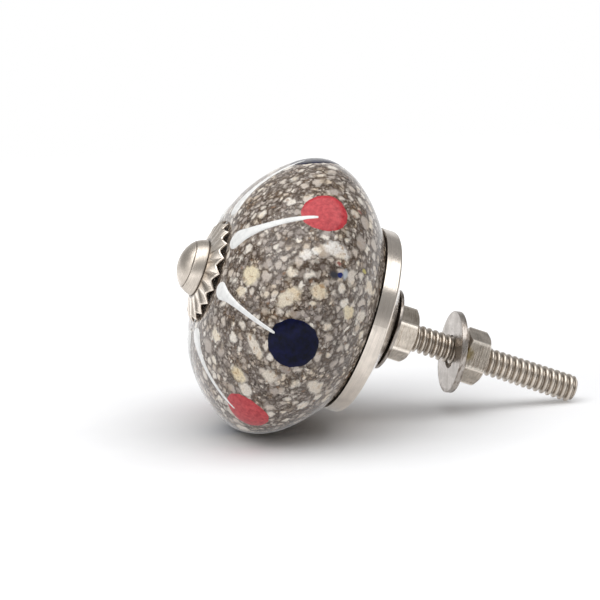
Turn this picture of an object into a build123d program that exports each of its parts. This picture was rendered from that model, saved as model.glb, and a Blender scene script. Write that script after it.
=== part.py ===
from build123d import *
from math import cos, radians, sin, tan
import os

# A round glazed ceramic knob for a drawer or a cabinet door, in millimetres.
# The knob's axis is Y and +Z is up. The origin is on the axis, at the back face of the
# retaining nut, which bears on the furniture. The domed head looks to -Y and the thread to +Y.

# Screw and its two nuts, 24 threads to the inch. Each turn of the thread is drawn as a ridge.
thread_diameter = 4.4
thread_pitch = 1.058
thread_depth = 0.54
thread_crest = 0.3
thread_turns = 31
thread_clearance = 0.05
screw_reach = 28.3
screw_tip_chamfer = 0.5
nut_across_flats = 7.6
nut_height = 3.8
nut_face_diameter = 7.3
nut_chamfer_angle = 30
nut_bore_chamfer = 0.3
retaining_nut_turn = 36
mounting_nut_turn = 25
mounting_nut_place = 8.5

# Washers, a thin one clamped behind the cup and a thicker one loose on the screw.
washer_diameter = 12.9
washer_hole = 5.2
washer_edge_round = 0.12
retaining_washer_thickness = 0.5
mounting_washer_thickness = 0.95
washer_lean = 10.5
loose_gap = 0.03

# Back cup, a spun metal dish that holds the end of the ceramic.
cup_diameter = 29.5
cup_band_width = 2.55
cup_sheet = 0.5
cup_corner_radius = 0.7
cup_dish_depth = 3.4
cup_land_diameter = 11.0
cup_hole = 5.0

# Ceramic body.
ceramic_diameter = 44.0
ceramic_length = 25.3
ceramic_front_half = 12.1
ceramic_front_flat = 16.8
ceramic_bore = 6.0
ceramic_back_round = 0.4
cup_fit = 0.1

# Fluted collar under the head, a pleated rosette stamped from sheet.
flute_count = 20
collar_sheet = 0.35
collar_hub_diameter = 9.4
collar_tip_diameter = 16.3
collar_ridge_diameter = 14.9
collar_drop = 1.45
flute_relief = 0.45
collar_hole = 5.0

# Domed head of the screw, turned in two sweeps that meet at a fine line.
head_diameter = 9.0
head_height = 3.45
head_line_diameter = 7.3
head_line_height = 1.95
head_flank_bulge = 0.12

# Enamel on the glaze, laid by hand: round dots by the equator, each with its angle about the
# axis and its distance ahead of the equator, and raised drops that run out to the dots, each
# with its angle at the collar and the angle through which it swirls on its way.
blue_dots = [(-86, 2.0), (17, 1.0), (102, 1.6), (187, 1.8)]
red_dots = [(-39, 1.6), (59.5, 2.2), (144, 1.4), (229, 1.5)]
blue_dot_diameter = 7.4
red_dot_diameter = 6.9
dot_relief = 0.08
drops = [(-76, -8), (-31, -5), (11.5, 4.5), (70, -7), (98, 4), (149, -5), (183, 4), (234, -5)]
drop_relief = 0.32
drop_start_radius = 9.4
drop_end_radius = 20.9
drop_widths = [(0.04, 1.6), (0.13, 2.4), (0.3, 1.45), (0.5, 0.9), (0.8, 0.7)]
drop_tip_width = 0.45

# Places along the axis, worked back from the seat at zero.
retaining_washer_back = -nut_height
cup_land_back = retaining_washer_back - retaining_washer_thickness
cup_back = cup_land_back - cup_dish_depth
cup_front = cup_back - cup_band_width
ceramic_back = cup_back - cup_sheet
ceramic_front = ceramic_back - ceramic_length
ceramic_equator = ceramic_front + ceramic_front_half
collar_hub_back = ceramic_front - loose_gap - collar_drop
head_seat = collar_hub_back - collar_sheet

thread_radius = thread_diameter / 2
ceramic_radius = ceramic_diameter / 2
cup_radius = cup_diameter / 2
neck_radius = cup_radius - cup_sheet - cup_fit


def across_axis(along, turn=0.0):
    # A plane square to the knob's axis, with its X turned from the side towards the bottom.
    angle = radians(turn)
    return Plane(origin=(0, along, 0), x_dir=(cos(angle), 0, -sin(angle)), z_dir=(0, 1, 0))


def along_axis(turn, along=0.0):
    # A plane that holds the axis, turned about it, with X outward and Y along the axis.
    angle = radians(turn)
    return Plane(origin=(0, along, 0), x_dir=(cos(angle), 0, -sin(angle)), z_dir=(sin(angle), 0, cos(angle)))


def ceramic_outline(proud=0.0):
    # The glazed outline from the front flat to the cup, or a skin that stands proud of it.
    flat = ceramic_front_flat / 2
    face = ceramic_front - proud
    reach = ceramic_radius + proud
    lean = 0.55 * proud
    back_half = cup_front - ceramic_equator
    front_curve = Bezier(
        (flat, face),
        (flat + 0.43 * (ceramic_radius - flat) + lean, face),
        (reach, ceramic_equator - 0.4 * ceramic_front_half - lean),
        (reach, ceramic_equator),
    )
    back_curve = Bezier(
        (reach, ceramic_equator),
        (reach, ceramic_equator + 0.35 * back_half + lean),
        (neck_radius + 0.64 * (ceramic_radius - neck_radius) + proud, ceramic_equator + 0.66 * back_half),
        (neck_radius + proud, cup_front),
    )
    return front_curve, back_curve


def make_ceramic_body():
    with BuildPart() as body:
        with BuildSketch(Plane.XY):
            with BuildLine():
                ceramic_outline()
                FilletPolyline(
                    (neck_radius, cup_front),
                    (neck_radius, ceramic_back),
                    (ceramic_bore / 2, ceramic_back),
                    radius=ceramic_back_round,
                )
                Polyline(
                    (ceramic_bore / 2, ceramic_back),
                    (ceramic_bore / 2, ceramic_front),
                    (ceramic_front_flat / 2, ceramic_front),
                )
            make_face()
        revolve(axis=Axis.Y)
    return body


def make_base_cup():
    # One spun sheet: a band, a rounded corner, a shallow cone and a flat land at the hole.
    with BuildPart() as cup:
        with BuildSketch(Plane.XY):
            with BuildLine():
                FilletPolyline(
                    (cup_hole / 2, cup_land_back),
                    (cup_land_diameter / 2, cup_land_back),
                    (cup_radius - cup_corner_radius, cup_back),
                    (cup_radius, cup_back),
                    (cup_radius, cup_front),
                    radius=cup_corner_radius / 2,
                )
                offset(amount=cup_sheet, side=Side.RIGHT)
            make_face()
        revolve(axis=Axis.Y)
    return cup


def make_fluted_collar():
    # A flat hub and pleats whose low creases run out to pointed tips on the ceramic.
    hub = collar_hub_diameter / 2
    tip = collar_tip_diameter / 2
    ridge = collar_ridge_diameter / 2
    ridge_drop = collar_drop * (ridge - hub) / (tip - hub) - flute_relief
    half_pleat = 180 / flute_count
    with BuildPart() as pleat:
        for turn in (-half_pleat, 0, half_pleat):
            reach = tip if turn else ridge
            drop = collar_drop if turn else ridge_drop
            with BuildSketch(along_axis(turn, head_seat)):
                with BuildLine():
                    Polyline(
                        (collar_hole / 4, 0),
                        (hub, 0),
                        (reach, drop),
                        (reach, drop + collar_sheet),
                        (hub, collar_sheet),
                        (collar_hole / 4, collar_sheet),
                        close=True,
                    )
                make_face()
        loft(ruled=True)
    with BuildPart() as collar:
        add([pleat.part.rotate(Axis.Y, 2 * half_pleat * number) for number in range(flute_count)])
        with Locations(across_axis(head_seat)):
            Hole(collar_hole / 2)
    return collar


def thread_outline():
    # The outline of the ridges, from the plain shank to the last crest before the tip.
    flank = (thread_pitch - thread_crest) / 2
    last_crest = screw_reach - screw_tip_chamfer - thread_crest
    first_crest = last_crest - thread_turns * thread_pitch
    points = []
    for turn in range(thread_turns):
        groove = first_crest + turn * thread_pitch + thread_crest
        points.append((thread_radius, groove))
        points.append((thread_radius - thread_depth, groove + flank))
        points.append((thread_radius, groove + 2 * flank))
    return points


def make_head_screw():
    # The domed head and its threaded shank are one piece.
    head = head_diameter / 2
    line = head_line_diameter / 2
    flank_top = head_seat - head_line_height
    crown = head_seat - head_height
    flank_middle = ((head + line) / 2 + head_flank_bulge, (head_seat + flank_top) / 2 - head_flank_bulge)
    crown_rise = head_height - head_line_height
    crown_radius = (line ** 2 + crown_rise ** 2) / (2 * crown_rise)
    with BuildPart() as screw:
        with BuildSketch(Plane.XY):
            with BuildLine():
                RadiusArc((0, crown), (line, flank_top), -crown_radius)
                ThreePointArc((line, flank_top), flank_middle, (head, head_seat))
                Polyline(
                    (head, head_seat),
                    (thread_radius, head_seat),
                    *thread_outline(),
                    (thread_radius, screw_reach - screw_tip_chamfer),
                    (thread_radius - screw_tip_chamfer, screw_reach),
                    (0, screw_reach),
                    (0, crown),
                )
            make_face()
        revolve(axis=Axis.Y)
    return screw


def make_nut(front, turn):
    # A plain hexagon nut with both faces chamfered down to a round bearing face.
    corner = nut_across_flats / 2 / cos(radians(30))
    face = nut_face_diameter / 2
    fall = (corner + 0.1 - face) * tan(radians(nut_chamfer_angle))
    bore = thread_radius + thread_clearance
    back = front + nut_height
    with BuildPart() as nut:
        with BuildSketch(across_axis(front)):
            RegularPolygon(nut_across_flats / 2, 6, major_radius=False, rotation=turn)
        extrude(amount=nut_height)
        with BuildSketch(Plane.XY):
            with BuildLine():
                Polyline(
                    (bore + nut_bore_chamfer, front),
                    (face, front),
                    (corner + 0.1, front + fall),
                    (corner + 0.1, back - fall),
                    (face, back),
                    (bore + nut_bore_chamfer, back),
                    (bore, back - nut_bore_chamfer),
                    (bore, front + nut_bore_chamfer),
                    close=True,
                )
            make_face()
        revolve(axis=Axis.Y, mode=Mode.INTERSECT)
    return nut


def make_washer(plane, thickness):
    with BuildPart() as washer:
        with BuildSketch(plane):
            Circle(washer_diameter / 2)
            Circle(washer_hole / 2, mode=Mode.SUBTRACT)
        extrude(amount=thickness)
        outside = washer.edges().filter_by(GeomType.CIRCLE).group_by(SortBy.RADIUS)[-1]
        fillet(outside, min(washer_edge_round, 0.4 * thickness))
    return washer


def leaning_plane():
    # The loose washer hangs on the thread crests and leans on the nut behind it.
    half = mounting_washer_thickness / 2
    lean = radians(washer_lean)
    hang = washer_hole / 2 * cos(lean) - half * sin(lean) - thread_radius - loose_gap
    touch = (nut_face_diameter / 2 - hang + half * sin(lean)) / cos(lean)
    middle = mounting_nut_place - loose_gap - half * cos(lean) - touch * sin(lean)
    normal = Vector(0, cos(lean), sin(lean))
    return Plane(origin=Vector(0, middle, -hang) - normal * half, x_dir=(1, 0, 0), z_dir=normal)


def make_glaze_form(proud=0.0):
    # The solid inside the glaze, or inside a skin that stands proud of it.
    with BuildPart() as form:
        with BuildSketch(Plane.XY):
            with BuildLine():
                front_curve, back_curve = ceramic_outline(proud)
                Polyline(back_curve @ 1, (0, cup_front), (0, ceramic_front - proud), front_curve @ 0)
            make_face()
        revolve(axis=Axis.Y)
    return form


def drop_point(share, width, side, swirl):
    # A point on a drop's edge, by its share of the way out along the swirling middle line.
    radius = drop_start_radius + share * (drop_end_radius - drop_start_radius)
    turn = radians(swirl * share)
    half = side * width / 2
    return (radius * cos(turn) - half * sin(turn), radius * sin(turn) + half * cos(turn))


def make_white_drops():
    with BuildPart() as enamel:
        for angle, swirl in drops:
            with BuildSketch(across_axis(ceramic_front - 1, angle)):
                with BuildLine():
                    start = drop_point(0, 0, 1, swirl)
                    for side in (-1, 1):
                        edge = [drop_point(share, width, side, swirl) for share, width in drop_widths]
                        Spline(start, *edge, drop_point(1, drop_tip_width, side, swirl))
                    Line(drop_point(1, drop_tip_width, -1, swirl), drop_point(1, drop_tip_width, 1, swirl))
                make_face()
            extrude(amount=ceramic_front_half)
        add(make_glaze_form(drop_relief).part, mode=Mode.INTERSECT)
        add(make_glaze_form().part, mode=Mode.SUBTRACT)
    return enamel


def make_dots(places, diameter, over_them):
    with BuildPart() as enamel:
        for angle, ahead in places:
            side = radians(angle)
            outward = (cos(side), 0, -sin(side))
            centre = (0, ceramic_equator - ahead, 0)
            with BuildSketch(Plane(origin=centre, x_dir=(0, 1, 0), z_dir=outward)):
                Circle(diameter / 2)
            extrude(amount=ceramic_diameter)
        add(make_glaze_form(dot_relief).part, mode=Mode.INTERSECT)
        add(make_glaze_form().part, mode=Mode.SUBTRACT)
        add(over_them.part, mode=Mode.SUBTRACT)
    return enamel


white_drops = make_white_drops()
finished = {
    "head_screw": make_head_screw(),
    "fluted_collar": make_fluted_collar(),
    "ceramic_body": make_ceramic_body(),
    "white_drops": white_drops,
    "blue_dots": make_dots(blue_dots, blue_dot_diameter, white_drops),
    "red_dots": make_dots(red_dots, red_dot_diameter, white_drops),
    "base_cup": make_base_cup(),
    "retaining_washer": make_washer(across_axis(cup_land_back), retaining_washer_thickness),
    "retaining_nut": make_nut(-nut_height, retaining_nut_turn),
    "mounting_washer": make_washer(leaning_plane(), mounting_washer_thickness),
    "mounting_nut": make_nut(mounting_nut_place, mounting_nut_turn),
}

os.makedirs("parts", exist_ok=True)
for name, piece in finished.items():
    piece.part.label = name
    export_step(piece.part, f"parts/{name}.step")
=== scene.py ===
import math
import bpy
import numpy as np
from mathutils import Matrix, Vector


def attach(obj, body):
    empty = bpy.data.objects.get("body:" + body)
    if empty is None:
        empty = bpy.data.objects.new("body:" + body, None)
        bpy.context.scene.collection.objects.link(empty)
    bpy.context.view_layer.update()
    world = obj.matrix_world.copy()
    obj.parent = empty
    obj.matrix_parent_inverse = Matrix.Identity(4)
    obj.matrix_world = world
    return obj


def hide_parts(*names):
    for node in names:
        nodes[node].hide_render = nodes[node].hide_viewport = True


# A round ceramic cabinet knob with a speckled glaze, raised enamel and nickel hardware.

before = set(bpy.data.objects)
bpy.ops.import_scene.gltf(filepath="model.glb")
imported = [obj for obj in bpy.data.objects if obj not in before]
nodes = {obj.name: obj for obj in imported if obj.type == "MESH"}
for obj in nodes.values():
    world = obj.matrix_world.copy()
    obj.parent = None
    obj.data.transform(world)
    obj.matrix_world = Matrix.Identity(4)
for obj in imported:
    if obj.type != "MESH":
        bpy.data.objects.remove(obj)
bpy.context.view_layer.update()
mm = 0.001

# Sizes of the knob in millimetres, as in the CAD source. Y runs from the dome to the screw's tip.
pitch = 1.058
crest_radius = 2.2
root_radius = 1.66
screw_reach = 28.3
plain_neck = 0.5
tip_chamfer = 0.55
tip_radius = 1.7
ceramic_front, ceramic_equator, cup_front = -33.5, -21.4, -10.25
ceramic_flat, ceramic_radius, neck_radius = 8.4, 22.0, 14.15
head_seat = -35.33
head_radius, line_radius, line_height, head_height = 4.5, 3.65, 1.95, 3.45
collar_hub, collar_tip, collar_ridge = 4.7, 8.15, 7.45
collar_hole, collar_sheet, collar_drop, flute_relief, flute_count = 2.5, 0.35, 1.45, 0.45, 20

# How far the handles of the ceramic's two curves reach, as shares of its radii and of its halves.
flat_reach, front_shoulder = 0.43, 0.4
back_shoulder, neck_swell, neck_ahead = 0.35, 0.64, 0.66
curve_steps = 200

# The fine groove round the head: how far behind the line it lies, and how deep it is.
groove_behind, groove_depth = 0.08, 0.10

# The enamel: the angle of each spot or drop, from the near side downwards, and for the spots
# how far in front of the equator their middle lies.
navy_places = [(-86, 2.0), (17, 1.0), (102, 1.6), (187, 1.8)]
scarlet_places = [(-39, 1.6), (59.5, 2.2), (144, 1.4), (229, 1.5)]
navy_radius, scarlet_radius, spot_lift = 3.8, 3.45, 0.07
navy_seed, scarlet_seed = 3, 8
# For the drops: the angle at the collar, the swirl on the way out, the end and the tail's fullness.
drop_places = [
    (-76, -8, 20.9, 1.1), (-31, -5, 21.6, 1.3), (11.5, 4.5, 20.8, 0.95), (70, -7, 20.9, 1.0),
    (98, 4, 20.9, 1.0), (149, -5, 21.2, 1.2), (183, 4, 20.8, 0.95), (234, -5, 21.0, 1.1),
]
drop_start = 9.4
drop_shares = [0.0, 0.04, 0.09, 0.14, 0.21, 0.3, 0.5, 0.8, 1.0]
drop_widths = [1.6, 2.2, 2.68, 2.74, 2.3, 1.65, 1.02, 0.72, 0.5]
drop_height, tail_height = 0.36, 0.13
# How deep the edges of the enamel lie in the glaze.
sunk = 0.02


# Helpers for node trees.

def cleared_tree(owner):
    owner.use_nodes = True
    owner.node_tree.nodes.clear()
    return owner.node_tree


def add(tree, kind, inputs=None, **settings):
    made = tree.nodes.new(kind)
    for key, value in settings.items():
        setattr(made, key, value)
    for key, value in (inputs or {}).items():
        if isinstance(value, bpy.types.NodeSocket):
            tree.links.new(value, made.inputs[key])
        else:
            made.inputs[key].default_value = value
    return made


def calc(tree, operation, *values):
    return add(tree, "ShaderNodeMath", dict(enumerate(values)), operation=operation).outputs[0]


def vector(tree, operation, *values):
    made = add(tree, "ShaderNodeVectorMath", operation=operation)
    for place, value in enumerate(values):
        socket = made.inputs["Scale"] if operation == "SCALE" and place == 1 else made.inputs[place]
        if isinstance(value, bpy.types.NodeSocket):
            tree.links.new(value, socket)
        else:
            socket.default_value = value
    return made.outputs["Value" if operation in ("LENGTH", "DISTANCE", "DOT_PRODUCT") else "Vector"]


def mix(tree, share, a, b, blend="MIX"):
    made = add(tree, "ShaderNodeMix", {0: share, 6: a, 7: b}, data_type="RGBA", blend_type=blend)
    return made.outputs[2]


def mix_shaders(tree, share, a, b):
    return add(tree, "ShaderNodeMixShader", {0: share, 1: a, 2: b}).outputs[0]


def ease(tree, value, low, high, to_low=0.0, to_high=1.0):
    made = add(
        tree, "ShaderNodeMapRange",
        {"Value": value, "From Min": low, "From Max": high, "To Min": to_low, "To Max": to_high},
        interpolation_type="SMOOTHSTEP",
    )
    return made.outputs["Result"]


def noise(tree, where, scale, detail=2.0, roughness=0.5, color=False):
    inputs = {"Vector": where, "Scale": scale, "Detail": detail, "Roughness": roughness}
    return add(tree, "ShaderNodeTexNoise", inputs).outputs["Color" if color else "Fac"]


def ramp(tree, value, *stops):
    made = add(tree, "ShaderNodeValToRGB", {"Fac": value})
    elements = made.color_ramp.elements
    while len(elements) < len(stops):
        elements.new(0.5)
    for element, (place, color) in zip(elements, stops):
        element.position = place
        element.color = (*color, 1.0)
    return made.outputs["Color"]


def warp(tree, where, scale, reach):
    # The place, pushed about by a noise, so that outlines drawn with it turn uneven.
    shift = vector(tree, "SUBTRACT", noise(tree, where, scale, 3.0, color=True), (0.5, 0.5, 0.5))
    return vector(tree, "ADD", where, vector(tree, "SCALE", shift, reach))


def new_material(name):
    # A material with its shader, and the place on the knob in millimetres.
    made = bpy.data.materials.new(name)
    tree = cleared_tree(made)
    out = tree.nodes.new("ShaderNodeOutputMaterial")
    surface = tree.nodes.new("ShaderNodeBsdfPrincipled")
    tree.links.new(surface.outputs[0], out.inputs["Surface"])
    place = add(tree, "ShaderNodeTexCoord").outputs["Object"]
    where = vector(tree, "SCALE", place, 1 / mm)
    return made, tree, surface, where


def bump(tree, surface, height, strength, distance):
    made = add(tree, "ShaderNodeBump", {"Strength": strength, "Distance": distance, "Height": height})
    tree.links.new(made.outputs[0], surface.inputs["Normal"])


# The ceramic's outline, which the glaze marks and the enamel lie on.

def bezier(points, share):
    a, b, c, d = (np.array(p) for p in points)
    rest = 1 - share
    return rest ** 3 * a + 3 * rest ** 2 * share * b + 3 * rest * share ** 2 * c + share ** 3 * d


def glaze_profile():
    # (radius, place along the axis) from the front flat to the cup.
    front_half = ceramic_equator - ceramic_front
    back_half = cup_front - ceramic_equator
    front_curve = [
        (ceramic_flat, ceramic_front),
        (ceramic_flat + flat_reach * (ceramic_radius - ceramic_flat), ceramic_front),
        (ceramic_radius, ceramic_equator - front_shoulder * front_half),
        (ceramic_radius, ceramic_equator),
    ]
    swell = neck_swell * (ceramic_radius - neck_radius)
    back_curve = [
        (ceramic_radius, ceramic_equator),
        (ceramic_radius, ceramic_equator + back_shoulder * back_half),
        (neck_radius + swell, ceramic_equator + neck_ahead * back_half),
        (neck_radius, cup_front),
    ]
    shares = np.linspace(0, 1, curve_steps)
    front = [bezier(front_curve, share) for share in shares]
    return np.array(front + [bezier(back_curve, share) for share in shares[1:]])


profile = glaze_profile()
front_profile = profile[:curve_steps]


def around(radius, along, angle):
    turn = math.radians(angle)
    return Vector((radius * math.cos(turn), along, -radius * math.sin(turn)))


def glaze_frame(angle, along):
    # A point of the glaze with the directions along the axis, around it and out of the glaze.
    step = 0.1
    radius, ahead = np.interp([along, along + step], profile[:, 1], profile[:, 0])
    middle = around(radius, along, angle)
    lengthwise = (around(ahead, along + step, angle) - middle).normalized()
    sideways = around(1.0, 0.0, angle + 90)
    return middle, lengthwise, sideways, lengthwise.cross(sideways)


# The glaze.

white_stone, pale_stone = (0.92, 0.88, 0.83), (0.84, 0.77, 0.67)
cream_stone, yellow_stone = (0.87, 0.78, 0.63), (0.86, 0.76, 0.55)
# The few stones that stand out: angle, place along the axis, length, width, tilt, colour.
stones = [
    (-23.5, -20.4, 4.3, 2.3, 4, white_stone), (-18.5, -24.7, 1.9, 1.6, 0, white_stone),
    (-21.0, -23.4, 1.4, 1.3, 0, white_stone), (-5.0, -30.7, 3.0, 2.8, 20, yellow_stone),
    (5.0, -31.2, 1.7, 1.5, 0, cream_stone), (0.0, -25.3, 4.2, 2.2, -49, cream_stone),
    (-5.5, -21.5, 2.5, 2.3, 30, cream_stone), (-1.5, -15.8, 2.4, 2.0, 10, yellow_stone),
    (-2.0, -13.2, 2.3, 1.9, 0, pale_stone), (-16.5, -13.1, 2.8, 1.8, 20, pale_stone),
    (26.0, -27.2, 4.0, 1.7, 30, pale_stone), (44.0, -27.4, 2.6, 2.4, 15, yellow_stone),
    (34.0, -23.7, 2.3, 2.1, 0, pale_stone), (35.0, -16.3, 4.4, 1.8, 38, pale_stone),
    (39.5, -31.8, 2.4, 1.5, -24, cream_stone),
]
# The crowd of stones, from small to large: cell size, offset, how many, the smallest and largest
# radius as shares of a cell, the softness of the edge and how bright they are.
stone_sizes = [
    (0.62, (3.1, 7.7, 1.3), 0.84, 0.22, 0.48, 0.28, 0.14),
    (1.05, (11.3, 2.9, 5.1), 0.82, 0.20, 0.46, 0.22, 0.24),
    (1.75, (23.7, 13.1, 8.8), 0.72, 0.20, 0.43, 0.16, 0.36),
    (3.1, (41.9, 31.3, 17.2), 0.38, 0.18, 0.38, 0.10, 0.44),
]
# Small coloured flecks on the near side: angle, place along the axis, length, width, softness, colour.
flecks = [
    (-13.6, -19.9, 1.6, 1.1, 0.5, (0.045, 0.045, 0.055)),
    (-14.4, -19.0, 0.9, 0.8, 0.2, (0.012, 0.022, 0.150)),
    (-15.5, -18.2, 0.9, 1.5, 0.5, (0.52, 0.55, 0.59)),
    (-18.6, -19.6, 0.8, 0.6, 0.4, (0.33, 0.13, 0.10)),
    (-21.5, -14.9, 1.1, 0.6, 0.4, (0.52, 0.45, 0.14)),
    (-47.0, -17.5, 0.9, 0.6, 0.5, (0.30, 0.12, 0.09)),
]


def patch(tree, where, angle, along, length, width, tilt=0.0, soft=0.25):
    # 1 inside an uneven oval on the glaze.
    middle, lengthwise, sideways, outward = glaze_frame(angle, along)
    turn = Matrix.Rotation(math.radians(tilt), 3, outward)
    axes = Matrix((turn @ lengthwise, turn @ sideways, outward)).transposed()
    size = (length / 2, width / 2, length / 2)
    inputs = {"Vector": where, "Location": middle, "Rotation": axes.to_euler(), "Scale": size}
    inside = add(tree, "ShaderNodeMapping", inputs, vector_type="TEXTURE").outputs[0]
    return ease(tree, vector(tree, "LENGTH", inside), 1 - soft, 1 + soft, 1.0, 0.0)


def pebbles(tree, where, crowd, size, offset, share, small, large, soft):
    # Round stones of one size: where they are, the dark rim about them, and a random number for each.
    rim_width = 0.18
    spot = vector(tree, "ADD", where, offset)
    cells = add(tree, "ShaderNodeTexVoronoi", {"Vector": spot, "Scale": 1 / size}, feature="F1")
    pick = add(tree, "ShaderNodeSeparateColor", {"Color": cells.outputs["Color"]}).outputs
    reach = calc(tree, "MULTIPLY_ADD", pick[1], large - small, small)
    wanted = calc(tree, "ADD", crowd, share - 0.5)
    there = calc(tree, "LESS_THAN", pick[0], wanted)
    outside = calc(tree, "SUBTRACT", cells.outputs["Distance"], reach)
    mask = calc(tree, "MULTIPLY", ease(tree, outside, -0.6 * soft, soft, 1.0, 0.0), there)
    rim = calc(tree, "MULTIPLY", ease(tree, outside, soft, soft + rim_width, 1.0, 0.0), there)
    return mask, rim, pick[2]


def glaze_ground(tree, where):
    # Fine brown-grey grit, warmer in some places than in others.
    grit = noise(tree, warp(tree, where, 1.6, 1.4), 2.1, 6.0, 0.7)
    tone = ramp(
        tree, grit,
        (0.37, (0.024, 0.017, 0.012)), (0.47, (0.100, 0.078, 0.063)), (0.58, (0.360, 0.312, 0.270)),
    )
    warmth = ease(tree, noise(tree, where, 0.6, 3.0), 0.42, 0.62)
    return mix(tree, warmth, tone, (1.0, 0.82, 0.64, 1), "MULTIPLY")


def stone_tone(tree, number, bright):
    # Mauve greys, warm greys and nearly white stones.
    return ramp(
        tree, calc(tree, "MULTIPLY_ADD", number, 0.8, bright),
        (0.0, (0.190, 0.158, 0.140)), (0.35, (0.410, 0.356, 0.326)), (0.65, (0.710, 0.628, 0.548)),
        (1.0, (0.950, 0.890, 0.800)),
    )


def glaze_pattern(tree, where):
    # Soft-edged stones of many sizes, pressed together in the darker ground.
    dark_rim, rust_color = (0.080, 0.054, 0.038, 1), (0.30, 0.165, 0.095, 1)
    crack_tint, cream_tint, grit_tint = (0.62, 0.48, 0.36), (1.0, 0.91, 0.76, 1), (0.50, 0.43, 0.37, 1)
    rim_share, stone_share = 0.55, 0.96
    near = warp(tree, warp(tree, where, 1.0, 1.2), 3.4, 0.38)
    crowd = noise(tree, where, 0.20, 2.0)
    tone = glaze_ground(tree, where)
    for size, offset, share, small, large, soft, bright in stone_sizes:
        mask, rim, number = pebbles(tree, near, crowd, size, offset, share, small, large, soft)
        tone = mix(tree, calc(tree, "MULTIPLY", rim, rim_share), tone, dark_rim)
        stone = stone_tone(tree, number, bright)
        tone = mix(tree, calc(tree, "MULTIPLY", mask, stone_share), tone, stone)
    cracks = ease(tree, noise(tree, near, 1.2, 4.0, 0.6), 0.54, 0.66)
    for angle, along, length, width, tilt, color in stones:
        cracked = tuple(part * tint for part, tint in zip(color, crack_tint))
        stained = mix(tree, cracks, (*color, 1), (*cracked, 1))
        tone = mix(tree, patch(tree, near, angle, along, length, width, tilt), tone, stained)
    cream = ease(tree, noise(tree, where, 0.45, 2.0), 0.50, 0.66, 0.0, 0.6)
    tone = mix(tree, cream, tone, cream_tint, "MULTIPLY")
    grit = ease(tree, noise(tree, where, 4.2, 4.0, 0.65), 0.34, 0.62, 0.45, 0.0)
    tone = mix(tree, grit, tone, grit_tint, "MULTIPLY")
    rust = ease(tree, noise(tree, where, 0.85, 2.0, 0.5), 0.675, 0.73, 0.0, 0.6)
    return mix(tree, rust, tone, rust_color)


def make_glaze():
    made, tree, surface, where = new_material("speckled_glaze")
    tone = glaze_pattern(tree, where)
    near = warp(tree, where, 2.2, 0.5)
    for angle, along, length, width, soft, color in flecks:
        tone = mix(tree, patch(tree, near, angle, along, length, width, soft=soft), tone, (*color, 1))
    # A painted shade line, dark, in the gap where the glaze meets the cup.
    joint_shade_from, joint_shade_to, joint_shade_color = cup_front - 0.24, cup_front - 0.08, (0.03, 0.025, 0.02, 1)
    along_axis = add(tree, "ShaderNodeSeparateXYZ", {"Vector": where}).outputs[1]
    tone = mix(tree, ease(tree, along_axis, joint_shade_from, joint_shade_to), tone, joint_shade_color)
    tree.links.new(tone, surface.inputs["Base Color"])
    surface.inputs["IOR"].default_value = 1.5
    surface.inputs["Specular IOR Level"].default_value = 0.36
    rough = ease(tree, noise(tree, where, 0.5, 2.0), 0.3, 0.7, 0.07, 0.15)
    tree.links.new(rough, surface.inputs["Roughness"])
    bump(tree, surface, noise(tree, where, 0.28, 2.0), 0.25, 0.4 * mm)
    return made


# Enamel and metal.

def make_enamel(name, dark, light, scale, low, high, gloss=0.4, rough=0.08):
    made, tree, surface, where = new_material(name)
    tone = ramp(tree, noise(tree, where, scale, 4.0, 0.6), (low, dark), (high, light))
    tree.links.new(tone, surface.inputs["Base Color"])
    surface.inputs["Specular IOR Level"].default_value = gloss
    streaks = ease(tree, noise(tree, where, 1.3, 2.0), 0.3, 0.7, rough, rough + 0.08)
    tree.links.new(streaks, surface.inputs["Roughness"])
    bump(tree, surface, noise(tree, where, 0.9, 2.0), 0.3, 0.1 * mm)
    return made


# Where the painted shade and highlights, the tarnish and the stains sit on a piece of metal, by the
# radius, the place along the axis and the angle.

def head_painted_shade(tree, radius, along, angle):
    # Painted shade: darker at the thread's roots, in the fine groove round the head and under its rim.
    in_root = ease(tree, radius, root_radius + 0.04, crest_radius - 0.12, 0.42, 0.0)
    on_shank = calc(tree, "GREATER_THAN", along, head_seat)
    roots = calc(tree, "MULTIPLY", in_root, on_shank)
    groove = head_seat - line_height + groove_behind
    away = calc(tree, "ABSOLUTE", calc(tree, "SUBTRACT", along, groove))
    by_line = calc(tree, "GREATER_THAN", radius, line_radius - 2 * groove_depth)
    in_groove = calc(tree, "MULTIPLY", ease(tree, away, 0.02, 0.07, 0.55, 0.0), by_line)
    off_shank = calc(tree, "GREATER_THAN", radius, crest_radius + 0.1)
    at_rim = ease(tree, along, head_seat - 0.30, head_seat - 0.05, 0.0, 0.8)
    under_rim = calc(tree, "MULTIPLY", at_rim, off_shank)
    return calc(tree, "MAXIMUM", roots, calc(tree, "MAXIMUM", in_groove, under_rim))


def collar_painted_shade(tree, radius, along, angle):
    # Painted shade: darker in the creases between the pleats, more so near the hub, and round the head's
    # foot.
    # The shift keeps the count of pleats above zero and puts a crease at each half.
    shift = 100.25
    pleats = calc(tree, "MULTIPLY_ADD", angle, flute_count / (2 * math.pi), shift)
    off = calc(tree, "ABSOLUTE", calc(tree, "SUBTRACT", calc(tree, "FRACT", pleats), 0.5))
    crease = ease(tree, off, 0.0, 0.22, 0.78, 0.0)
    folds = calc(tree, "MULTIPLY", crease, ease(tree, radius, collar_hub, collar_tip, 1.0, 0.45))
    foot = ease(tree, radius, head_radius + 0.15, head_radius + 0.55, 0.85, 0.0)
    return calc(tree, "MAXIMUM", folds, foot)


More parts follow.
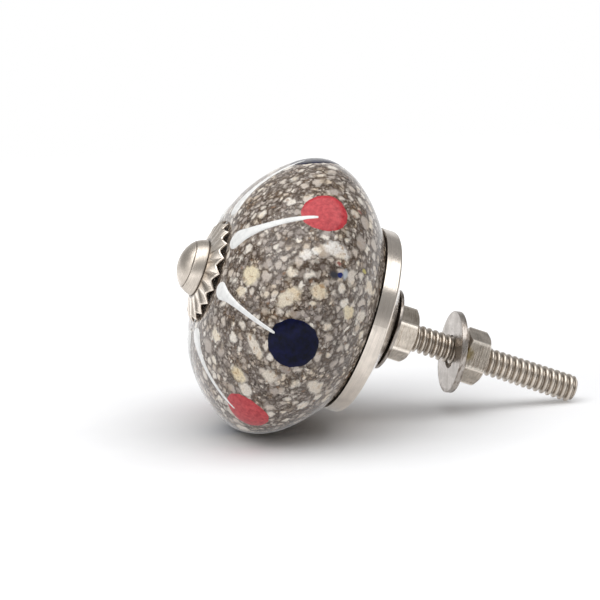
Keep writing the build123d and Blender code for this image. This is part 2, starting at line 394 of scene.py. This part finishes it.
def washer_dirt(tree, radius, along, angle):
    # Patchy tarnish along the outer edge.
    tarnish_from, tarnish_to = 5.95, 6.35
    edge = ease(tree, radius, tarnish_from, tarnish_to)
    at_edge = add(tree, "ShaderNodeCombineXYZ", {"X": angle, "Y": calc(tree, "MULTIPLY", along, 0.5)})
    patches = ease(tree, noise(tree, at_edge.outputs[0], 2.6, 4.0, 0.65), 0.46, 0.62, 0.0, 0.75)
    return calc(tree, "MULTIPLY", edge, patches)


def nut_highlight_and_stain(tree, tone, radius, where):
    # Painted highlights on the corners, and a yellow-brown stain where the loose nut faces its washer.
    corner_highlight_from, corner_highlight_to, highlight_color = 4.12, 4.32, (0.98, 0.90, 0.80, 1)
    stain_place, stain_color = around(3.9, 8.4, -3.0), (0.22, 0.155, 0.035, 1)
    corner_highlight = ease(tree, radius, corner_highlight_from, corner_highlight_to, 0.0, 0.8)
    tone = mix(tree, corner_highlight, tone, highlight_color)
    away = vector(tree, "DISTANCE", warp(tree, where, 1.5, 1.4), stain_place)
    return mix(tree, ease(tree, away, 0.7, 1.6, 0.75, 0.0), tone, stain_color)


def make_nickel(
    name, dark, light, low_rough, high_rough, rings=1.0, stretch=1.0, relief=0.01,
    anisotropy=0.5, scratches=0.0, dirt_and_shade=None, highlight_and_stain_of=None,
):
    # Warm nickel plate. Turned pieces carry fine rings about the knob's axis, and on the sides
    # of the nuts, where the radius counts for little, the same rings are lines across each flat.
    pit_color, dirt_and_shade_color = (0.16, 0.11, 0.07, 1), (0.10, 0.072, 0.050, 1)
    made, tree, surface, where = new_material(name)
    parts = add(tree, "ShaderNodeSeparateXYZ", {"Vector": where}).outputs
    radius = vector(tree, "LENGTH", vector(tree, "MULTIPLY", where, (1.0, 0.0, 1.0)))
    angle = calc(tree, "ARCTAN2", parts[0], parts[2])
    if rings:
        slow = calc(tree, "MULTIPLY", angle, 0.35)
        outward = calc(tree, "MULTIPLY", radius, rings)
        ringed = add(tree, "ShaderNodeCombineXYZ", {"X": outward, "Y": parts[1], "Z": slow})
        lines = noise(tree, ringed.outputs[0], 7.0 * stretch, 4.0, 0.7)
    else:
        lines = noise(tree, where, 5.0 * stretch, 4.0, 0.7)
    cloud = noise(tree, where, 0.55, 3.0)
    wear = calc(tree, "ADD", calc(tree, "MULTIPLY", cloud, 0.45), calc(tree, "MULTIPLY", lines, 0.55))
    tone = ramp(tree, wear, (0.36, dark), (0.60, light))
    pits = ease(tree, noise(tree, where, 4.2, 3.0, 0.6), 0.68, 0.73, 0.0, 0.6)
    marks = calc(tree, "MAXIMUM", pits, ease(tree, lines, 0.53, 0.62, 0.0, scratches))
    tone = mix(tree, marks, tone, pit_color)
    # Painted highlights on the nuts' corners, with a real stain.
    if highlight_and_stain_of:
        tone = highlight_and_stain_of(tree, tone, radius, where)
    # Painted shade in the hollows of the head and the collar, and real tarnish on the washers' edges, in
    # one dark colour.
    if dirt_and_shade:
        tone = mix(tree, dirt_and_shade(tree, radius, parts[1], angle), tone, dirt_and_shade_color)
    tree.links.new(tone, surface.inputs["Base Color"])
    surface.inputs["Metallic"].default_value = 1.0
    rough = ease(tree, wear, 0.36, 0.62, high_rough, low_rough)
    tree.links.new(rough, surface.inputs["Roughness"])
    bump(tree, surface, lines, 1.0, relief * mm)
    if anisotropy:
        surface.inputs["Anisotropic"].default_value = anisotropy
        tangent = add(tree, "ShaderNodeTangent", direction_type="RADIAL", axis="Y")
        tree.links.new(tangent.outputs[0], surface.inputs["Tangent"])
    return made


glaze = make_glaze()
white_enamel = make_enamel("white_enamel", (0.80, 0.80, 0.785), (0.94, 0.938, 0.92), 1.1, 0.3, 0.55)
red_enamel = make_enamel(
    "red_enamel", (0.40, 0.020, 0.032), (0.65, 0.070, 0.080), 1.5, 0.32, 0.66, gloss=0.3, rough=0.14,
)
blue_enamel = make_enamel(
    "blue_enamel", (0.003, 0.004, 0.012), (0.007, 0.009, 0.050), 0.8, 0.36, 0.7, gloss=0.10, rough=0.12,
)
head_nickel = make_nickel(
    "nickel_turned", (0.50, 0.448, 0.390), (0.70, 0.630, 0.552), 0.25, 0.37, dirt_and_shade=head_painted_shade,
)
collar_nickel = make_nickel(
    "nickel_collar", (0.70, 0.625, 0.545), (0.92, 0.834, 0.738), 0.20, 0.32,
    rings=0, anisotropy=0, dirt_and_shade=collar_painted_shade,
)
washer_nickel = make_nickel(
    "nickel_washer", (0.35, 0.317, 0.288), (0.46, 0.420, 0.385), 0.24, 0.36,
    rings=0, stretch=0.6, anisotropy=0, dirt_and_shade=washer_dirt,
)
band_nickel = make_nickel(
    "nickel_band", (0.56, 0.507, 0.452), (0.72, 0.652, 0.581), 0.14, 0.23, stretch=0.7,
)
nut_nickel = make_nickel(
    "nickel_nut", (0.31, 0.271, 0.226), (0.66, 0.591, 0.511), 0.12, 0.25,
    rings=0.05, stretch=0.52, relief=0.06, anisotropy=0, scratches=0.6, highlight_and_stain_of=nut_highlight_and_stain,
)


# Pieces made here.

def make_mesh(name, points, faces, material):
    data = bpy.data.meshes.new(name)
    data.from_pydata([tuple(p * mm for p in point) for point in points], [], faces)
    data.polygons.foreach_set("use_smooth", [True] * len(data.polygons))
    data.update()
    made = bpy.data.objects.new(name, data)
    bpy.context.scene.collection.objects.link(made)
    data.materials.append(material)
    return made


def on_front(x, z, lift):
    # The glaze point in front of the equator at this place across the axis, lifted off the glaze.
    step = 0.02
    radius = min(math.hypot(x, z), ceramic_radius - 0.001)
    along, before = np.interp([radius, radius - step], front_profile[:, 0], front_profile[:, 1])
    slope = (along - before) / step
    length = math.hypot(1, slope)
    grown = (radius + lift * slope / length) / max(math.hypot(x, z), 1e-9)
    return (x * grown, along - lift / length, z * grown)


def drop_shape(share, fullness):
    # The width and height of a drop at this share of its length, round at both of its ends.
    head_round, tail_round = 0.05, 0.965
    highest, full_by, fall = 0.14, 0.3, 0.42
    closing = 1.0
    if share < head_round:
        closing = math.sqrt(1 - (1 - share / head_round) ** 2)
    if share > tail_round:
        closing = math.sqrt(max(0.0, 1 - ((share - tail_round) / (1 - tail_round)) ** 2))
    fuller = 1 + (fullness - 1) * min(1.0, share / full_by)
    width = np.interp(share, drop_shares, drop_widths) * closing * fuller
    height = max(tail_height, drop_height - fall * max(0.0, share - highest)) * math.sqrt(closing)
    return width, height


def make_drops():
    # Raised drops that run out from the collar, with more rows near their round heads.
    points, faces = [], []
    rows, columns, crowding = 80, 15, 1.7
    for angle, swirl, end, fullness in drop_places:
        base = len(points)
        for row in range(rows):
            share = (row / (rows - 1)) ** crowding
            width, height = drop_shape(share, fullness)
            reach = drop_start + share * (end - drop_start)
            turn = math.radians(angle + swirl * share)
            for column in range(columns):
                across = -1 + 2 * column / (columns - 1)
                side = across * width / 2
                x = reach * math.cos(turn) - side * math.sin(turn)
                z = -reach * math.sin(turn) - side * math.cos(turn)
                points.append(on_front(x, z, height * math.sqrt(1 - across ** 2) - sunk))
        for row in range(rows - 1):
            for column in range(columns - 1):
                a = base + row * columns + column
                faces.append((a, a + 1, a + columns + 1, a + columns))
    return make_mesh("enamel_drops", points, faces, white_enamel)


def on_side(angle, along, sideways, lift):
    # A glaze point by its place along the axis and its sideways distance from a meridian.
    step = 0.05
    radius, ahead = np.interp([along, along + step], profile[:, 1], profile[:, 0])
    slope = (ahead - radius) / step
    length = math.hypot(1, slope)
    grown = (radius + lift / length) / radius
    u = math.sqrt(max(radius ** 2 - sideways ** 2, 0.0)) * grown
    v = sideways * grown
    sine, cosine = math.sin(math.radians(angle)), math.cos(math.radians(angle))
    return (u * cosine - v * sine, along - lift * slope / length, -u * sine - v * cosine)


def make_dots(name, places, radius, material, seed):
    # Flat round spots of enamel with slightly uneven outlines.
    rng = np.random.default_rng(seed)
    points, faces = [], []
    rings, spokes, orders = 10, 72, (2, 3, 5, 7, 11, 17)
    unevenness, edge_power = 0.009, 6
    for angle, ahead in places:
        base = len(points)
        middle = ceramic_equator - ahead
        waves = rng.uniform(-1, 1, (len(orders), 2))
        points.append(on_side(angle, middle, 0.0, spot_lift))
        for ring in range(1, rings + 1):
            share = ring / rings
            lift = spot_lift * math.sqrt(1 - share ** edge_power) if ring < rings else -sunk
            for spoke in range(spokes):
                theta = 2 * math.pi * spoke / spokes
                wave = sum(
                    swing[0] * math.cos(order * theta) + swing[1] * math.sin(order * theta)
                    for order, swing in zip(orders, waves)
                )
                reach = radius * share * (1 + unevenness * wave * share)
                along, aside = middle + reach * math.cos(theta), reach * math.sin(theta)
                points.append(on_side(angle, along, aside, lift))
        for spoke in range(spokes):
            after = (spoke + 1) % spokes
            faces.append((base, base + 1 + spoke, base + 1 + after))
            for ring in range(rings - 1):
                a, b = base + 1 + ring * spokes, base + 1 + (ring + 1) * spokes
                faces.append((a + spoke, b + spoke, b + after, a + after))
    return make_mesh(name, points, faces, material)


def head_profile():
    # The dome from its top to its rim: a shallow crown, a fine groove and a fuller flank.
    crown_steps, flank_steps, flank_bulge = 40, 16, 0.48
    rise = head_height - line_height
    sphere = (line_radius ** 2 + rise ** 2) / (2 * rise)
    crown = head_seat - head_height
    line = head_seat - line_height
    rows = []
    for share in np.linspace(0.02, 0.985, crown_steps):
        r = line_radius * share
        rows.append((r, crown + sphere - math.sqrt(sphere ** 2 - r ** 2)))
    rows += [
        (line_radius - 0.02, line + 0.02), (line_radius - groove_depth, line + groove_behind),
        (line_radius + 0.04, line + 0.13),
    ]
    for share in np.linspace(0.06, 1, flank_steps):
        bulge = flank_bulge * share * (1 - share)
        width = line_radius + (head_radius - line_radius) * share + bulge * 0.9
        rows.append((width, line + line_height * share - bulge * 0.5))
    rows += [(head_radius - 0.05, head_seat), (crest_radius, head_seat)]
    return rows


def thread_height(phase):
    # 1 on the crest and 0 at the root, for a place from 0 to 1 across one pitch.
    crest, root, drop = 0.30, 0.86, 0.10
    off = abs(phase - 0.5) * 2
    if off < crest:
        return 1 - drop * (off / crest) ** 2
    if off > root:
        return 0.0
    share = (root - off) / (root - crest)
    return (1 - drop) * share * share * (3 - 2 * share)


def make_screw():
    # The domed head with its threaded shank, one right-hand helix from the head to the tip.
    spokes, steps_a_turn = 72, 15
    tip_slope = 0.95
    thread_from = head_seat + plain_neck
    steps = int((screw_reach - thread_from) / pitch * steps_a_turn)
    rows = [(r, y, False) for r, y in head_profile()]
    rows.append((crest_radius, thread_from, False))
    rows += [(crest_radius, y, True) for y in np.linspace(thread_from + 0.1, screw_reach, steps)]
    points, faces = [(0.0, head_seat - head_height, 0.0)], []
    for r, y, threaded in rows:
        for spoke in range(spokes):
            theta = 2 * math.pi * spoke / spokes
            radius = r
            if threaded:
                phase = (y / pitch - theta / (2 * math.pi)) % 1
                radius = root_radius + (crest_radius - root_radius) * thread_height(phase)
                radius = min(radius, crest_radius - tip_slope * max(0.0, y - (screw_reach - tip_chamfer)))
            points.append((radius * math.sin(theta), y, radius * math.cos(theta)))
    last = len(rows) - 1
    points.append((0.0, screw_reach, 0.0))
    for spoke in range(spokes):
        after = (spoke + 1) % spokes
        faces.append((0, 1 + after, 1 + spoke))
        for row in range(last):
            a, b = 1 + row * spokes, 1 + (row + 1) * spokes
            faces.append((a + spoke, a + after, b + after, b + spoke))
        faces.append((1 + last * spokes + spoke, 1 + last * spokes + after, len(points) - 1))
    return make_mesh("threaded_screw", points, faces, head_nickel)


def collar_outline(off):
    # A slice of the sheet, from the hole round the front, the rim and the back, at a place from
    # the middle of a pleat's ridge (0) to its crease (1).
    rows, ridge_growth, ridge_power, rim_inset = 14, 1.25, 1.8, 0.04
    edge = collar_ridge + (collar_tip - collar_ridge) * off
    front = []
    for row in range(rows):
        radius = collar_hub + (edge - collar_hub) * row / (rows - 1)
        grown = (radius - collar_hub) / (collar_tip - collar_hub)
        ridge = flute_relief * min(1.0, ridge_growth * grown) * (1 - off ** ridge_power)
        front.append((radius, head_seat + collar_drop * grown - ridge))
    last_radius, last_along = front[-1]
    rim = [(last_radius, last_along + 0.5 * collar_sheet)]
    front[-1] = (last_radius - rim_inset, last_along)
    back = [(r, y + collar_sheet) for r, y in reversed(front)]
    return [(collar_hole, head_seat)] + front + rim + back + [(collar_hole, head_seat + collar_sheet)]


def make_collar():
    # A pleated rosette: round ridges between sharp creases, and the creases end in the points.
    columns_a_pleat, crease_power = 16, 1.5
    columns = columns_a_pleat * flute_count
    points, faces = [], []
    for column in range(columns):
        place = column / columns_a_pleat
        share = 2 * (place % 1) - 1
        off = 1 - (1 - abs(share)) ** crease_power
        turn = 2 * math.pi * (math.floor(place) + 0.5 + math.copysign(off, share) / 2) / flute_count
        outline = collar_outline(off)
        points += [(r * math.cos(turn), y, -r * math.sin(turn)) for r, y in outline]
    around_sheet = len(outline)
    for column in range(columns):
        a, b = column * around_sheet, (column + 1) % columns * around_sheet
        for row in range(around_sheet):
            after = (row + 1) % around_sheet
            faces.append((a + row, a + after, b + after, b + row))
    return make_mesh("pleated_collar", points, faces, collar_nickel)


drops = make_drops()
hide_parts("white_drops")
navy_dots = make_dots("navy_dots", navy_places, navy_radius, blue_enamel, navy_seed)
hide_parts("blue_dots")
scarlet_dots = make_dots("scarlet_dots", scarlet_places, scarlet_radius, red_enamel, scarlet_seed)
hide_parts("red_dots")
screw = make_screw()
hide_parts("head_screw")
collar = make_collar()
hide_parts("fluted_collar")
for piece in (drops, navy_dots, scarlet_dots, screw, collar):
    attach(piece, "knob")


# Pieces kept from the frame: their materials, and small rounds on the sharp edges of the hardware.

nut_round, washer_round = 0.22, 0.07


def paint(obj, material):
    obj.data.materials.clear()
    obj.data.materials.append(material)


def soften(obj, width):
    weld = obj.modifiers.new("weld", "WELD")
    weld.merge_threshold = 0.002 * mm
    edge = obj.modifiers.new("edge", "BEVEL")
    edge.width = width * mm
    edge.segments = 2
    edge.limit_method = "ANGLE"
    edge.angle_limit = math.radians(35)
    edge.harden_normals = True


paint(nodes["ceramic_body"], glaze)
paint(nodes["base_cup"], band_nickel)
for name, material, width in (
    ("retaining_washer", washer_nickel, washer_round), ("mounting_washer", washer_nickel, washer_round),
    ("retaining_nut", nut_nickel, nut_round), ("mounting_nut", nut_nickel, nut_round),
):
    paint(nodes[name], material)
    soften(nodes[name], width)


# Camera, where the photograph was taken from, in metres.

camera_place = (0.37753, -0.10684, 0.00008)
view_along = Vector((-0.97383, 0.22730, 0.0)).normalized()
camera_top = Vector((-0.07038, -0.30152, 0.95086))
right = view_along.cross(camera_top).normalized()
up = right.cross(view_along).normalized()
camera_data = bpy.data.cameras.new("camera")
camera_data.lens = 150.0
camera_data.sensor_width = 36.0
camera_data.clip_start, camera_data.clip_end = 0.01, 10.0
camera = bpy.data.objects.new("camera", camera_data)
bpy.context.scene.collection.objects.link(camera)
camera_turn = Matrix((right, up, -view_along)).transposed().to_4x4()
camera.matrix_world = Matrix.Translation(camera_place) @ camera_turn
bpy.context.scene.camera = camera


# Floor: the knob lies on the side of its ceramic and on the tip of its screw. Its glow, which only
# the rays that show the background see, whitens the paper outward from the shadow, and the far
# edge fades out. Distances are in metres from the floor's middle.

floor_reach, floor_gap, floor_roll = 0.36, 0.00002, 7
knob_middle = Vector((0, -0.018, 0))
near_glow, near_glow_from, near_glow_to = 0.22, 0.008, 0.044
far_glow, far_glow_from, far_glow_to = 0.45, 0.05, 0.16
mirrored_glow = 0.3
glow_color = (0.98, 0.985, 1.0, 1)
fade_from, fade_to = 0.16, 0.34


def resting_lean():
    # The tilt of the plane that the ceramic and the screw's tip both touch, and its depth.
    low, high, halvings = 0.1, 0.8, 50
    tip = np.array([(crest_radius, screw_reach - tip_chamfer), (tip_radius, screw_reach)])
    for _ in range(halvings):
        tilt = (low + high) / 2
        way = np.array((math.cos(tilt), math.sin(tilt)))
        if (profile @ way).max() > (tip @ way).max():
            low = tilt
        else:
            high = tilt
    return tilt, (profile @ way).max()


lean, depth = resting_lean()
roll = math.radians(floor_roll)
floor_up = Vector((math.cos(lean) * math.sin(roll), -math.sin(lean), math.cos(lean) * math.cos(roll)))
floor_along = floor_up.cross(Vector((1, 0, 0))).normalized()
floor_side = floor_along.cross(floor_up).normalized()


def seen(tree):
    # 1 for the rays that show the white background: to the camera, in mirrors and through glass.
    path = add(tree, "ShaderNodeLightPath").outputs
    both = calc(tree, "MAXIMUM", path["Is Camera Ray"], path["Is Glossy Ray"])
    return calc(tree, "MAXIMUM", both, path["Is Transmission Ray"])


def floor_material():
    made = bpy.data.materials.new("floor")
    tree = cleared_tree(made)
    out = tree.nodes.new("ShaderNodeOutputMaterial")
    place = add(tree, "ShaderNodeTexCoord").outputs["Object"]
    grain = noise(tree, vector(tree, "SCALE", place, 60.0), 1.0, 3.0)
    tone = ramp(tree, grain, (0.3, (0.80, 0.80, 0.805)), (0.7, (0.83, 0.83, 0.832)))
    paper = add(tree, "ShaderNodeBsdfDiffuse", {"Color": tone}).outputs[0]
    away = vector(tree, "LENGTH", place)
    mirrored = add(tree, "ShaderNodeLightPath").outputs["Is Glossy Ray"]
    near = calc(
        tree, "MAXIMUM", ease(tree, away, near_glow_from, near_glow_to, 0.0, near_glow),
        calc(tree, "MULTIPLY", mirrored, mirrored_glow),
    )
    far = ease(tree, away, far_glow_from, far_glow_to, 0.0, far_glow)
    strength = calc(tree, "MULTIPLY", calc(tree, "ADD", near, far), seen(tree))
    glow = add(tree, "ShaderNodeEmission", {"Color": glow_color, "Strength": strength}).outputs[0]
    lit = add(tree, "ShaderNodeAddShader", {0: paper, 1: glow}).outputs[0]
    clear = add(tree, "ShaderNodeBsdfTransparent").outputs[0]
    underside = add(tree, "ShaderNodeNewGeometry").outputs["Backfacing"]
    gone = calc(tree, "MAXIMUM", ease(tree, away, fade_from, fade_to), underside)
    tree.links.new(mix_shaders(tree, gone, lit, clear), out.inputs["Surface"])
    return made


def make_floor():
    reach = floor_reach / mm
    corners = [(-reach, -reach, 0), (reach, -reach, 0), (reach, reach, 0), (-reach, reach, 0)]
    made = make_mesh("floor", corners, [(0, 1, 2, 3)], floor_material())
    turn = Matrix((floor_side, floor_along, floor_up)).transposed().to_4x4()
    middle = knob_middle - floor_up * (depth * mm + floor_gap + knob_middle.dot(floor_up))
    made.matrix_world = Matrix.Translation(middle) @ turn
    return made


floor = make_floor()


# Light: a large soft box overhead and a weak card on the left, in a pale room.

light_distance = 0.6
light_aim = Vector((0, -0.01, 0))


def toward(right_share, up_share, back_share):
    # A direction given in the camera's own right, the floor's up and towards the camera.
    return (right * right_share + floor_up * up_share - view_along * back_share).normalized()


def add_light(name, way, size, power):
    data = bpy.data.lights.new(name, "AREA")
    data.shape = "RECTANGLE"
    data.size, data.size_y = size
    data.energy = power
    made = bpy.data.objects.new(name, data)
    bpy.context.scene.collection.objects.link(made)
    side = right.cross(way).normalized()
    turn = Matrix((side.cross(way), side, way)).transposed().to_4x4()
    made.matrix_world = Matrix.Translation(light_aim + way * light_distance) @ turn
    made.visible_camera = False


def make_world():
    # In mirrors the studio is white behind the knob, as the camera sees it, and down at the
    # floor's level, and dimmer elsewhere.
    room_color, room_level, dimming = (0.97, 0.98, 1.0, 1), 0.30, 0.60
    made = bpy.data.worlds.new("studio")
    tree = cleared_tree(made)
    out = tree.nodes.new("ShaderNodeOutputWorld")
    room = add(tree, "ShaderNodeBackground", {"Color": room_color, "Strength": room_level}).outputs[0]
    direction = add(tree, "ShaderNodeTexCoord").outputs["Generated"]
    off_view = ease(tree, vector(tree, "DOT_PRODUCT", direction, view_along), 0.70, 0.96, dimming, 0.0)
    off_floor = ease(tree, vector(tree, "DOT_PRODUCT", direction, floor_up), -0.04, 0.20)
    mirrored = add(tree, "ShaderNodeLightPath").outputs["Is Glossy Ray"]
    dimmer = calc(tree, "MULTIPLY", calc(tree, "MULTIPLY", off_view, off_floor), mirrored)
    level = calc(tree, "SUBTRACT", 1.0, dimmer)
    white = add(tree, "ShaderNodeBackground", {"Color": (1, 1, 1, 1), "Strength": level}).outputs[0]
    tree.links.new(mix_shaders(tree, seen(tree), room, white), out.inputs["Surface"])
    return made


add_light("softbox", toward(-0.05, 0.96, 0.20), (1.35, 0.6), 4.9)
add_light("left_card", toward(-0.85, 0.36, 0.34), (0.45, 0.34), 0.45)
bpy.context.scene.world = make_world()
bpy.context.scene.view_settings.view_transform = "Standard"
